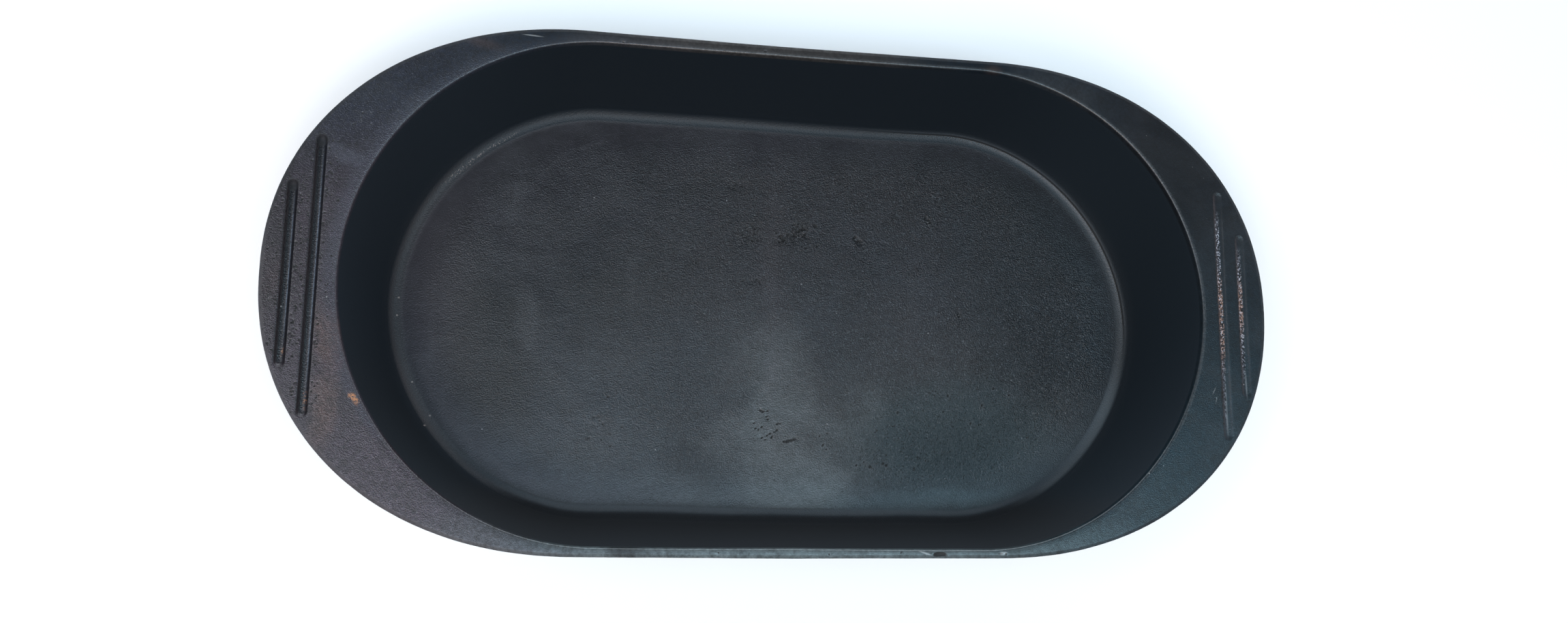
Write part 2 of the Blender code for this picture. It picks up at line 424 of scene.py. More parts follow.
# the blow hole's own shape needs a finer net
extra = np.concatenate([extra, [57.7, -100.1] + hexes(3.4, 1.9, .34)])
ok = inside(extra, rim_loop, .25) & ~inside(extra, mouth_loop, -.25)
for g in GROOVES:
    ok &= groove_distance(extra, g) > 2.75
extra = extra[ok]
pts = pts[clear_of(pts, [p[:2] for p in flange_pits], [1.7 * p[2] + .3 for p in flange_pits])]
flange_fill = np.concatenate([pts, extra, groove_points()])
skin.fill([edge[-1], mouth[0]], np.c_[flange_fill, np.full(len(flange_fill), TOP)])

# cooking floor
floor_loop = skin.at(foot[-1])[:, :2]
pts = hexes(170, 90, 1.5)
pts = pts[inside(pts, floor_loop, .7)]
pts = pts[clear_of(pts, [p[:2] for p in floor_pits], [1.9 * p[2] for p in floor_pits])]
extra = pit_points(floor_pits)
floor_fill = np.concatenate([pts, extra[inside(extra, floor_loop, .3)]])
floor_inner = skin.fill([foot[-1]], np.c_[floor_fill, np.full(len(floor_fill), BASE)])

# underside
base_loop = skin.at(bottom[0])[:, :2]
pts = hexes(170, 90, 4.0)
pts = pts[inside(pts, base_loop, 2.0)]
skin.fill([bottom[0]], np.c_[pts, np.zeros(len(pts))])

points = np.concatenate(skin.points)
flat = points[:, :2].copy()
top_face = points[:, 2] > TOP - .01
floor_face = np.zeros(len(points), bool)
floor_face[np.r_[foot[-1], floor_inner]] = True
cavity = np.zeros(len(points), bool)
cavity[np.concatenate(inner)] = True


def gap_to(loop, pts):
    """Distance of each point from a closed loop."""
    tree = KDTree(len(loop))
    for i, p in enumerate(loop):
        tree.insert((p[0], p[1], 0.0), i)
    tree.balance()
    return np.array([tree.find((p[0], p[1], 0.0))[2] for p in pts])


foot_gap, lip_gap = np.zeros(len(points)), np.full(len(points), -60.0)
rim_gap = np.zeros(len(points))
foot_gap[floor_face] = gap_to(floor_loop, flat[floor_face])
lip_gap[top_face] = gap_to(mouth_loop, flat[top_face])
rim_gap[top_face] = gap_to(rim_loop, flat[top_face])
rim_gap[cavity & ~top_face] = 30.0
lip_gap[cavity & ~top_face] = points[cavity & ~top_face, 2] - TOP

# The left flange rolls over gently into the cavity; elsewhere the edge is crisp.
bearing = np.degrees(np.arctan2(flat[:, 1], flat[:, 0]))
roll_width = np.interp(bearing, (-180, -168, -157, -120, -60, 60, 92, 112, 130, 150, 180),
                       (6.0, 5.0, 1.6, 1.0, .8, .8, 1.4, 2.0, 3.6, 5.4, 6.0))
roll_fall = .5 * roll_width * math.tan(math.radians(9))
gap = np.where(top_face, lip_gap, 0.0)
fade = np.where(top_face, 1.0, np.clip((points[:, 2] - (TOP - 12)) / 11, 0, 1) * cavity)
points[:, 2] -= roll_fall * fade * np.clip(1 - gap / roll_width, 0, 1) ** 2

# a fine parting line where the fillet meets the wall, round the right end
crease = np.zeros(len(points))
line_z = np.interp(bearing, (-6, 8, 33, 60), (6.10, 6.10, 6.06, 6.06))
along = np.clip(np.minimum((bearing + 6) / 8, (75 - bearing) / 30), 0, 1)
at_line = cavity & (points[:, 2] < 12)
rise = points[:, 2] - line_z
crease[at_line] = (along * (np.exp(-((rise - .55) / .24) ** 2) - np.exp(-(rise / .24) ** 2)))[at_line]

points[top_face, 2] += groove_depth(flat[top_face]) + pit_depth(flat[top_face])
points[floor_face, 2] += pit_depth(flat[floor_face])


def fbm(pts, wave, seed):
    off = Vector((seed * 17.3, seed * 5.1, seed * 9.7))
    return np.array([noise.noise(Vector(p) / wave + off) for p in pts])


# the skin's waviness, on everything but the flat base that it stands on
soft = points[:, 2] > .01
sway = np.zeros(len(points))
sway[soft] = .10 * fbm(points[soft], 28.0, 1) + .035 * fbm(points[soft], 8.0, 2) + .02 * fbm(points[soft], 3.2, 3)

mesh = bpy.data.meshes.new("pan_skin")
mesh.from_pydata((points * MM).tolist(), [], skin.faces)
bm = bmesh.new()
bm.from_mesh(mesh)
bmesh.ops.recalc_face_normals(bm, faces=bm.faces)
bm.to_mesh(mesh)
bm.free()
mesh.update()
normal = np.zeros(len(points) * 3)
mesh.vertex_normals.foreach_get("vector", normal)
sway += .16 * crease
points = points + normal.reshape(-1, 3) * sway[:, None]
points[:, 2] = np.maximum(points[:, 2], 0)
mesh.vertices.foreach_set("co", (points * MM).ravel())
mesh.shade_smooth()
mesh.update()
pits_seen = top_face | floor_face
mark = np.zeros(len(points))
mark[pits_seen] = pit_mark(flat[pits_seen])
for name, values in (("foot_gap", foot_gap), ("lip_gap", lip_gap), ("roll_width", roll_width), ("rim_gap", rim_gap), ("pit", mark), ("crease", crease)):
    mesh.attributes.new(name, "FLOAT", "POINT").data.foreach_set("value", values)
pan = bpy.data.objects.new("cast_pan", mesh)
bpy.context.scene.collection.objects.link(pan)


# ---------------------------------------------------------------- finish
class Nodes:
    """Short names for building a node tree."""

    def __init__(self, tree):
        self.tree = tree

    def new(self, kind, **sockets):
        node = self.tree.nodes.new(kind)
        for name, value in sockets.items():
            self.set(node, name, value)
        return node

    def set(self, node, name, value):
        key = int(name[1:]) if name[0] == "i" and name[1:].isdigit() else name.replace("_", " ")
        socket = node.inputs[key]
        if isinstance(value, bpy.types.NodeSocket):
            self.tree.links.new(value, socket)
        else:
            socket.default_value = value

    def math(self, op, a, b=0.0, c=None, clamp=False):
        n = self.tree.nodes.new("ShaderNodeMath")
        n.operation, n.use_clamp = op, clamp
        for i, v in enumerate((a, b) if c is None else (a, b, c)):
            self.set(n, f"i{i}", v)
        return n.outputs[0]

    def vmath(self, op, a, b=(0, 0, 0)):
        n = self.tree.nodes.new("ShaderNodeVectorMath")
        n.operation = op
        self.set(n, "i0", a)
        if op == "SCALE":
            self.set(n, "Scale", b)
        else:
            self.set(n, "i1", b)
        return n.outputs["Value"] if op in ("LENGTH", "DISTANCE", "DOT_PRODUCT") else n.outputs["Vector"]

    def ramp(self, value, lo, hi, out_lo=0.0, out_hi=1.0, smooth=True):
        n = self.tree.nodes.new("ShaderNodeMapRange")
        n.interpolation_type = "SMOOTHSTEP" if smooth else "LINEAR"
        n.clamp = True
        for name, v in (("Value", value), ("From Min", lo), ("From Max", hi), ("To Min", out_lo), ("To Max", out_hi)):
            self.set(n, name, v)
        return n.outputs["Result"]

    def mix(self, share, a, b):
        n = self.tree.nodes.new("ShaderNodeMix")
        n.data_type = "RGBA"
        self.set(n, "i0", share)
        for i, v in ((6, a), (7, b)):
            if isinstance(v, tuple) and len(v) == 3:
                v = (*v, 1.0)
            self.set(n, f"i{i}", v)
        return n.outputs[2]

    def noise(self, where, scale, detail=2.0, rough=.5, warp=0.0):
        n = self.tree.nodes.new("ShaderNodeTexNoise")
        for name, v in (("Vector", where), ("Scale", scale), ("Detail", detail), ("Roughness", rough), ("Distortion", warp)):
            self.set(n, name, v)
        return n.outputs["Fac"]

    def drift(self, where, scale, reach):
        """Coordinates pushed about by noise, by up to about half of reach."""
        n = self.tree.nodes.new("ShaderNodeTexNoise")
        for name, v in (("Vector", where), ("Scale", scale), ("Detail", 2.0)):
            self.set(n, name, v)
        push = self.vmath("SUBTRACT", n.outputs["Color"], (.5, .5, .5))
        return self.vmath("ADD", where, self.vmath("SCALE", push, reach))

    def turned(self, where, degrees, scale=(1.0, 1.0, 1.0)):
        n = self.tree.nodes.new("ShaderNodeMapping")
        self.set(n, "Vector", where)
        self.set(n, "Rotation", tuple(math.radians(d) for d in degrees))
        self.set(n, "Scale", scale)
        return n.outputs["Vector"]

    def cells(self, where, scale, feature="F1", jitter=1.0):
        n = self.tree.nodes.new("ShaderNodeTexVoronoi")
        n.feature = feature
        for name, v in (("Vector", where), ("Scale", scale), ("Randomness", jitter)):
            self.set(n, name, v)
        return n.outputs["Distance"]

    def spot(self, where, centre, radii, turn=0.0, soft=(0.6, 1.2)):
        """1 in the middle of a soft ellipse, 0 outside. Heights are ignored."""
        n = self.tree.nodes.new("ShaderNodeMapping")
        n.vector_type = "TEXTURE"
        self.set(n, "Vector", where)
        self.set(n, "Location", (*centre, 0.0))
        self.set(n, "Rotation", (0.0, 0.0, math.radians(turn)))
        self.set(n, "Scale", (*radii, 1e6))
        r = self.vmath("LENGTH", n.outputs["Vector"])
        return self.ramp(r, soft[0], soft[1], 1.0, 0.0)


def seasoned_iron():
    mat = bpy.data.materials.new("seasoned_iron")
    mat.use_nodes = True
    tree = mat.node_tree
    tree.nodes.clear()
    n = Nodes(tree)
    out = n.new("ShaderNodeOutputMaterial")
    shader = n.new("ShaderNodeBsdfPrincipled")
    tree.links.new(shader.outputs[0], out.inputs["Surface"])
    where = n.vmath("SCALE", n.new("ShaderNodeTexCoord").outputs["Object"], 1000.0)   # mm
    axes = n.new("ShaderNodeSeparateXYZ", Vector=where)
    x, y, z = axes.outputs

    def stored(name):
        a = tree.nodes.new("ShaderNodeAttribute")
        a.attribute_name = name
        return a.outputs["Fac"]

    def both(*shares):
        out = shares[0]
        for share in shares[1:]:
            out = n.math("MULTIPLY", out, share)
        return out

    def any_of(*shares):
        out = shares[0]
        for share in shares[1:]:
            out = n.math("MAXIMUM", out, share)
        return out

    def bar(cx, cy, hx, hy, soft_x=.5, soft_y=4.0):
        """1 inside an upright box, softly 0 outside."""
        dx = n.math("ABSOLUTE", n.math("SUBTRACT", x, cx))
        dy = n.math("ABSOLUTE", n.math("SUBTRACT", y, cy))
        return both(n.ramp(dx, hx - soft_x, hx + soft_x, 1.0, 0.0), n.ramp(dy, hy - soft_y, hy + soft_y, 1.0, 0.0))

    foot, lip, rim, pit, line, roll = (stored(k) for k in ("foot_gap", "lip_gap", "rim_gap", "pit", "crease", "roll_width"))
    on_top = n.ramp(z, 54.4, 55.4)
    on_floor = n.ramp(foot, 0.0, 1.2)
    left = both(on_top, n.ramp(x, -150.0, -80.0, 1.0, 0.0))
    right = both(on_top, n.ramp(x, 90.0, 150.0))

    # Patches on the cooking floor, of use and of painted sheen: lighter where it is worn smooth, and down the middle
    # and over the near half where a painted sheen of the lamps lies;
    # darker where the seasoning is thick. Their outlines are ragged and very soft.
    loose = n.drift(n.drift(where, .05, 11.0), .22, 6.5)
    streak = n.noise(n.turned(where, (0, 0, -52), (.06, .30, .30)), 1.0, 3.0, .6)
    cloud = n.noise(where, .035, 3.0, .55, .6)

    near = n.drift(where, .5, 3.0)

    def patch(centre, radii, share, turn=0):
        return n.math("MULTIPLY", n.spot(loose, centre, radii, turn, (0.0, 1.35)), share)

    def broad(centre, radii, share, turn=0):
        return n.math("MULTIPLY", n.spot(loose, centre, radii, turn, (.40, 1.30)), share)

    def total(*shares):
        out = shares[0]
        for share in shares[1:]:
            out = n.math("ADD", out, share)
        return out

    light = total(broad((3.0, -31.0), (17.0, 30.0), .25), broad((3.0, -50.0), (24.0, 18.0), .24), broad((9.0, -74.0), (25.0, 17.0), .46),
                  patch((6.0, -79.0), (50.0, 8.0), .18), broad((-16.0, -56.0), (18.0, 15.0), .24), patch((-8.0, -18.0), (24.0, 24.0), .20),
                  broad((30.0, -42.0), (22.0, 20.0), .15), patch((-38.0, -76.0), (30.0, 10.0), .20),
                  patch((-72.0, -58.0), (34.0, 20.0), .12), patch((-78.0, -27.0), (26.0, 9.0), .14, 6), patch((-74.0, -78.0), (50.0, 8.0), .12),
                  patch((45.0, -37.0), (8.0, 14.0), .14), patch((128.0, -46.0), (26.0, 24.0), .14), patch((76.0, -24.0), (40.0, 20.0), .12), patch((32.0, -50.0), (15.0, 13.0), .12),
                  patch((34.0, -67.0), (22.0, 13.0), .26))
    streaks = total(n.math("MULTIPLY", n.spot(near, (-104.6, -7.0), (5.6, 18.0), 3, (.3, 1.2)), .17),
                    n.math("MULTIPLY", n.spot(near, (-62.0, 12.0), (2.8, 18.0), 0, (.1, 1.3)), .10),
                    n.math("MULTIPLY", n.spot(near, (-112.0, 45.0), (3.6, 13.0), -12, (.1, 1.3)), .13),
                    n.math("MULTIPLY", n.spot(near, (-143.0, -12.0), (1.8, 15.0), 2, (.1, 1.3)), .10),
                    n.math("MULTIPLY", n.spot(near, (-1.6, -24.0), (3.0, 20.0), 0, (.2, 1.3)), .16),
                    n.math("MULTIPLY", n.spot(near, (86.5, -15.0), (4.0, 15.0), -3, (.1, 1.3)), .14),
                    n.math("MULTIPLY", n.spot(near, (61.0, 2.0), (3.4, 22.0), -4, (.1, 1.3)), .08),
                    n.math("MULTIPLY", n.spot(where, (-98.0, 60.5), (11.0, 1.1), 47, (.2, 1.3)), .10),
                    n.math("MULTIPLY", n.spot(where, (-81.5, 71.0), (12.0, 1.1), 22, (.2, 1.3)), .12))
    heavy = total(broad((-120.0, -22.0), (24.0, 34.0), .66), broad((-40.0, 61.0), (42.0, 15.0), .30), patch((-78.0, 0.0), (46.0, 24.0), .40), patch((122.0, 46.0), (40.0, 36.0), .40), patch((-104.0, -38.0), (30.0, 24.0), .27),
                  patch((-66.0, 22.0), (66.0, 40.0), .38), patch((-46.0, -34.0), (30.0, 20.0), .14), patch((-4.0, 42.0), (36.0, 22.0), .22),
                  broad((62.0, 64.0), (76.0, 18.0), .36), patch((-132.0, 10.0), (20.0, 24.0), .42), patch((38.0, -60.0), (14.0, 10.0), .03))
    rosy = total(patch((-1.0, 20.0), (7.0, 58.0), .15), patch((66.0, 2.0), (24.0, 34.0), .10, -8), patch((-143.0, 10.0), (20.0, 58.0), .17),
                 patch((20.0, 74.0), (130.0, 22.0), .08))
    smooth = n.ramp(light, 0.0, .6, smooth=False)
    border = n.ramp(foot, 3.0, 15.0, 1.0, 0.0)
    coarse = n.math("MULTIPLY", n.ramp(x, -110.0, 10.0, .50, 1.0), n.ramp(cloud, .30, .60, .75, 1.0))
    coarse = n.math("ADD", coarse, total(patch((76.0, -52.0), (56.0, 28.0), .34), patch((72.0, 56.0), (44.0, 22.0), .12)))
    coarse = n.math("MULTIPLY", coarse, n.ramp(n.math("SUBTRACT", y, n.math("MULTIPLY", x, .5)), -110.0, -20.0, 1.7, .85))
    peel = both(on_floor, coarse, n.math("SUBTRACT", 1.0, n.math("MULTIPLY", smooth, .75)), n.math("SUBTRACT", 1.0, n.math("MULTIPLY", n.ramp(foot, 2.0, 24.0, 1.0, 0.0), .68)))
    peel = n.math("ADD", peel, both(n.ramp(z, 9.0, 12.0, 1.0, 0.0), n.math("SUBTRACT", 1.0, on_floor), .30))
    peel = n.math("ADD", peel, n.math("MULTIPLY", left, .26))
    peel = n.math("ADD", peel, n.math("MULTIPLY", right, .11))

    # colour: seasoning over grey iron
    floor_tone = n.mix(n.ramp(n.math("SUBTRACT", n.math("MULTIPLY", x, .22), y), -75.0, 60.0), (.0140, .0136, .0178), (.0084, .0134, .0186))
    walls = n.mix(n.ramp(n.math("ABSOLUTE", x), 85.0, 150.0), (.0028, .0085, .0150), (.0068, .0142, .0222))
    # painted highlight: the walls are lighter just above the fillet, most at the two ends
    walls = n.mix(both(n.ramp(z, 6.5, 16.0, .42, 0.0), n.ramp(n.math("ABSOLUTE", y), 40.0, 80.0, 1.0, .3)), walls, (.0240, .0290, .0350))
    # painted shade: the near-left wall is darker going upwards
    walls = n.mix(both(n.ramp(x, -120.0, -60.0, 1.0, 0.0), n.ramp(y, -50.0, -5.0, 1.0, 0.0), n.ramp(z, 8.0, 20.0, 0.0, .40)), walls, (.0008, .0020, .0036))
    # painted highlight: the fillet is lighter except along the far side, and lighter still towards the near left and
    # the near right
    by_side = n.ramp(n.math("ABSOLUTE", y), 40.0, 80.0, 1.0, .25)
    fillet_highlight = both(n.ramp(z, 6.4, 8.0, 1.0, 0.0), by_side)
    fillet_highlight_right = both(n.ramp(x, 60.0, 110.0), n.ramp(y, -40.0, -10.0, 1.0, 0.0))
    fillet_highlight_tone = n.mix(n.ramp(x, -150.0, -100.0, 1.0, 0.0), (.0230, .0290, .0350), (.0262, .0288, .0335))
    fillet_highlight_tone = n.mix(both(n.ramp(x, -110.0, -84.0, 1.0, 0.0), n.ramp(y, -36.0, -12.0, 1.0, 0.0)), fillet_highlight_tone, (.0440, .0430, .0470))
    colour = n.mix(fillet_highlight, walls, n.mix(fillet_highlight_right, fillet_highlight_tone, (.0560, .0720, .0840)))
    at_near = n.ramp(n.math("ADD", y, n.math("MULTIPLY", n.math("ABSOLUTE", x), .22)), -62.0, -42.0, 1.0, 0.0)
    # painted highlight: the foot of the fillet along the near side is lighter
    colour = n.mix(both(at_near, n.ramp(z, 5.02, 5.5, .70, 0.0)), colour, (.0440, .0500, .0570))
    # painted shade: the upper fillet and the wall along the near side are darker
    colour = n.mix(both(at_near, n.ramp(z, 5.15, 5.8), n.ramp(z, 8.0, 60.0, .95, .55)), colour, (.0012, .0030, .0060))
    colour = n.mix(on_floor, colour, floor_tone)
    colour = n.mix(left, colour, n.mix(n.ramp(y, 20.0, 75.0), (.0290, .0222, .0290), (.0172, .0205, .0300)))
    colour = n.mix(right, colour, n.mix(n.ramp(y, -60.0, 70.0), (.0072, .0162, .0230), (.0130, .0155, .0198)))
    patchy = any_of(on_floor, on_top)
    colour = n.mix(both(patchy, n.ramp(cloud, .42, .72, 0.0, .16)), colour, (.034, .037, .042))
    colour = n.mix(both(on_floor, heavy), colour, (.0020, .0030, .0040))
    # painted sheen: the lighter floor patches are partly worn smooth and partly a painted reflection of the lamps
    colour = n.mix(both(on_floor, light), colour, (.074, .0745, .0745))
    colour = n.mix(both(on_floor, streaks), colour, (.076, .078, .086))
    grain = n.math("ADD", n.math("MULTIPLY", n.math("SUBTRACT", n.noise(where, .42, 3.0, .62), .5), 1.3), n.math("MULTIPLY", n.math("SUBTRACT", n.noise(where, .13, 2.0, .5, .5), .5), .9))
    colour = n.vmath("SCALE", colour, n.math("ADD", 1.0, both(on_floor, grain)))
    colour = n.mix(both(on_floor, rosy), colour, (.072, .060, .068))
    # painted sheen: the floor is lighter and tealer towards the near right
    colour = n.mix(both(on_floor, total(broad((70.0, -79.0), (52.0, 6.0), .38, 5), broad((80.0, -55.0), (52.0, 30.0), .46))), colour, (.054, .084, .096))
    colour = n.mix(both(on_floor, n.ramp(streak, .45, .75, 0.0, .10), n.ramp(x, -20.0, 70.0, 1.0, .35)), colour, (.060, .064, .072))
    colour = n.mix(both(on_floor, n.math("MULTIPLY", border, n.ramp(x, -130.0, -60.0, .26, .08))), colour, (.058, .058, .066))
    colour = n.mix(both(on_floor, n.ramp(foot, .5, 2.4, .10, 0.0), n.ramp(y, -30.0, 10.0), n.ramp(x, 60.0, 110.0, 1.0, 0.0), n.ramp(x, -110.0, -70.0, .4, 1.0)), colour, (.056, .060, .066))
    ragged_edge = n.math("ADD", foot, n.math("MULTIPLY", n.math("SUBTRACT", n.noise(where, .16, 3.0, .6), .5), 5.0))
    low_left = both(on_floor, n.ramp(x, -112.0, -84.0, 1.0, 0.0), n.ramp(y, -36.0, -12.0, 1.0, 0.0))
    colour = n.mix(both(low_left, n.ramp(n.math("ABSOLUTE", n.math("SUBTRACT", ragged_edge, 1.8)), 0.0, 2.4, .34, 0.0)), colour, (.0060, .0060, .0070))
    colour = n.mix(both(low_left, n.ramp(n.math("ABSOLUTE", n.math("SUBTRACT", ragged_edge, 5.6)), 0.0, 2.4, .10, 0.0)), colour, (.0700, .0600, .0600))
    # painted highlight: lighter teal on the floor beside the fillet at the near right
    colour = n.mix(both(on_floor, n.ramp(x, 80.0, 110.0), n.ramp(y, -60.0, -20.0, 1.0, 0.0), n.ramp(foot, 1.0, 10.0, .34, 0.0)), colour, (.058, .078, .088))
    # painted shade: the floor darkens towards the fillet along the near side
    colour = n.mix(both(on_floor, at_near, n.ramp(ragged_edge, .5, 5.5, .34, 0.0)), colour, (.0100, .0125, .0150))
    # painted sheen: the near long side of the flange top is lighter towards the middle
    south_rim_sheen = both(on_top, n.ramp(y, -97.5, -92.0, 1.0, 0.0), n.ramp(n.math("ABSOLUTE", x), 60.0, 130.0, 1.0, 0.0))
    colour = n.mix(n.math("MULTIPLY", south_rim_sheen, n.ramp(x, 20.0, 90.0, .57, .44)), colour, (.125, .156, .164))
    north = both(on_top, n.ramp(y, 92.0, 97.0), n.ramp(n.math("ABSOLUTE", x), 50.0, 110.0, 1.0, 0.0))
    colour = n.mix(n.math("MULTIPLY", north, n.ramp(x, 20.0, 60.0, .40, .08)), colour, (.075, .062, .052))
    colour = n.mix(both(on_top, n.spot(loose, (-63.0, -100.0), (8.0, 5.0), 0, (.3, 1.3)), .72), colour, (.0030, .0040, .0050))
    # painted shade: the far part of the right flange is darker
    colour = n.mix(both(on_top, n.spot(loose, (158.0, 56.0), (28.0, 34.0), 0, (.2, 1.4)), .46), colour, (.0015, .0020, .0028))
    brown = any_of(n.math("MULTIPLY", n.spot(loose, (-174.5, -24.0), (5.5, 15.0), 4, (0.0, 1.4)), .32),
                   n.math("MULTIPLY", n.spot(loose, (-174.5, -50.0), (5.0, 16.0), -4, (0.0, 1.4)), .30),
                   n.math("MULTIPLY", n.spot(loose, (-196.0, -4.0), (5.0, 15.0), 0, (0.0, 1.4)), .10),
                   n.math("MULTIPLY", n.spot(where, (-124.0, 94.0), (8.0, 2.5), -12, (0.0, 1.4)), .16),
                   n.math("MULTIPLY", n.spot(where, (83.0, 98.5), (4.0, 2.2), 0, (0.0, 1.4)), .22))
    colour = n.mix(both(on_top, brown), colour, (.120, .066, .044))

    colour = n.mix(both(on_top, n.spot(loose, (-197.0, 8.0), (12.0, 50.0), 0, (.2, 1.4)), .50), colour, (.0090, .0080, .0095))
    # painted sheen: the near side of the flange top is lighter towards the right end
    colour = n.mix(both(on_top, n.spot(loose, (116.0, -95.0), (32.0, 11.0), -14, (.2, 1.4)), .24), colour, (.054, .084, .094))
    colour = n.mix(both(on_top, n.spot(loose, (110.0, 92.0), (22.0, 9.0), -20, (.2, 1.4)), .26), colour, (.064, .064, .066))
    colour = n.mix(both(on_top, n.spot(loose, (-168.0, -52.0), (16.0, 14.0), 0, (.2, 1.4)), .26), colour, (.0080, .0075, .0085))
    # painted sheen: the near side of the flange top is lighter towards the left end
    colour = n.mix(both(on_top, n.spot(loose, (-118.0, -95.0), (28.0, 11.0), 20, (.2, 1.4)), .40), colour, (.070, .076, .082))
    mottle = n.noise(n.turned(where, (5, 8, 50)), .62, 4.0, .70)
    blotch = n.noise(where, .11, 2.0, .5, .4)
    uneven = n.math("ADD", n.math("MULTIPLY", n.math("SUBTRACT", mottle, .5), n.ramp(x, -60.0, 60.0, 3.1, 2.2)), n.math("MULTIPLY", n.math("SUBTRACT", blotch, .5), 1.0))
    colour = n.vmath("SCALE", colour, n.math("ADD", 1.0, both(on_top, uneven)))

    # bare, worn metal at the cavity's crisp edge, broken into specks, and a painted highlight along that edge
    speck = n.noise(where, .9, 3.0, .7)
    edge = n.ramp(n.math("ABSOLUTE", n.math("SUBTRACT", lip, .05)), .15, .75, 1.0, 0.0)
    edge = both(edge, n.ramp(speck, .36, .62, .25, 1.0), n.ramp(roll, 1.2, 4.0, 1.0, .25), n.ramp(y, -90.0, -40.0, .30, 1.0), n.ramp(y, 80.0, 96.0, 1.0, .55))
    edge = n.math("MULTIPLY", edge, n.math("SUBTRACT", 1.0, n.math("MULTIPLY", n.ramp(x, 40.0, 110.0), n.ramp(y, -14.0, 6.0, .46, .45))))
    colour = n.mix(n.math("MULTIPLY", edge, .42), colour, (.150, .150, .155))
    # painted highlight: the left flange's rolled edge into the cavity is lighter and bluer
    roll_sheen = both(on_top, n.ramp(n.math("DIVIDE", lip, roll), .25, 1.25, 1.0, 0.0), n.ramp(roll, 1.4, 3.0))
    colour = n.mix(both(roll_sheen, n.ramp(y, 20.0, 84.0, .30, .14)), colour, (.066, .070, .090))
    colour = n.mix(n.math("MULTIPLY", both(on_top, n.spot(loose, (-172.5, 46.0), (7.0, 4.5), -20, (.1, 1.3))), .30), colour, (.090, .096, .125))

    # grooves: on the right a grey strip, partly speckled bare iron and partly a painted highlight of the lit inner
    # flank, with painted glints and rust; on the left painted shade in the trough and outer flank, a painted glint with
    # a thin painted shade line beside it, and a little rust; the ends painted dark as shade
    def grain_and_sheen(cx, cy, hy):
        """The grey strip along a groove, partly bare iron and partly a painted highlight: narrower towards the near
        end, fading out at both ends.
        """
        dx = both(n.math("ABSOLUTE", n.math("SUBTRACT", x, cx)), n.ramp(y, -48.0, -12.0, 1.9, 1.0))
        dy = n.math("ABSOLUTE", n.math("SUBTRACT", y, cy))
        return both(n.ramp(dx, .55, 1.25, 1.0, 0.0), n.ramp(dy, hy - 12.0, hy + 2.0, 1.0, 0.0))

    inner_right = any_of(grain_and_sheen(180.6, -3.0, 47.0), grain_and_sheen(189.7, -2.0, 30.0))
    grit = n.noise(where, 1.0, 3.0, .65)
    sparkle = n.noise(n.turned(where, (9, 4, 12), (1.1, 1.0, 1.0)), 1.35, 2.0, .65)
    # partly bare iron, partly a painted highlight of the lit inner flank
    colour = n.mix(both(on_top, inner_right, n.ramp(grit, .34, .56, .10, .70)), colour, (.056, .062, .076))
    # painted glints on the strip
    colour = n.mix(both(on_top, inner_right, n.ramp(sparkle, .53, .59, 0.0, .95), n.ramp(y, -30.0, -5.0, .35, 1.0)), colour, (.380, .400, .460))
    # painted highlight: the strip carried on towards the near ends of the grooves
    tail_highlight = both(on_top, any_of(bar(181.0, -41.0, .35, 9.0, .35, 4.0), bar(190.3, -30.0, .30, 4.5, .3, 3.0)))
    colour = n.mix(n.math("MULTIPLY", tail_highlight, .55), colour, (.190, .215, .235))
    colour = n.mix(both(on_top, inner_right, n.ramp(sparkle, .42, .48, .95, 0.0)), colour, (.0030, .0035, .0045))
    rust_right = both(any_of(bar(180.6, -3.0, 1.1, 16.0, .4, 9.0), bar(189.7, 3.0, 1.0, 10.0, .4, 7.0)), n.ramp(grit, .42, .54), n.ramp(sparkle, .44, .50))
    groove_end_shade = both(on_top, any_of(*(n.math("MULTIPLY", n.spot(where, at, (2.9, 2.6), 0, (.7, 1.15)), share) for at, share in
                                        (((-181.2, 51.6), 1.0), ((-190.3, 33.6), 1.0), ((181.2, 49.6), .55), ((190.3, 31.4), .55)))))
    # painted shade at the grooves' ends
    colour = n.mix(n.math("MULTIPLY", groove_end_shade, .6), colour, (.0040, .0050, .0070))
    flank_shade = both(on_top, any_of(bar(-182.2, .4, 1.15, 51.5, .5, 2.0), bar(-191.3, .4, 1.15, 33.5, .5, 2.0)))
    trough_shade = both(on_top, any_of(bar(-181.2, .4, 1.5, 51.5, .3, 1.5), bar(-190.3, .4, 1.5, 33.5, .3, 1.5)))
    # painted shade in the left grooves' troughs
    colour = n.mix(n.math("MULTIPLY", trough_shade, .55), colour, (.0070, .0095, .0150))
    # painted shade on their outer flanks
    colour = n.mix(n.math("MULTIPLY", flank_shade, .85), colour, (.0020, .0026, .0044))
    glint = both(on_top, any_of(bar(-180.5, 2.0, .18, 38.0, .22, 14.0), bar(-189.6, 2.0, .16, 22.0, .20, 12.0)), n.ramp(grit, .30, .62, .35, 1.0))
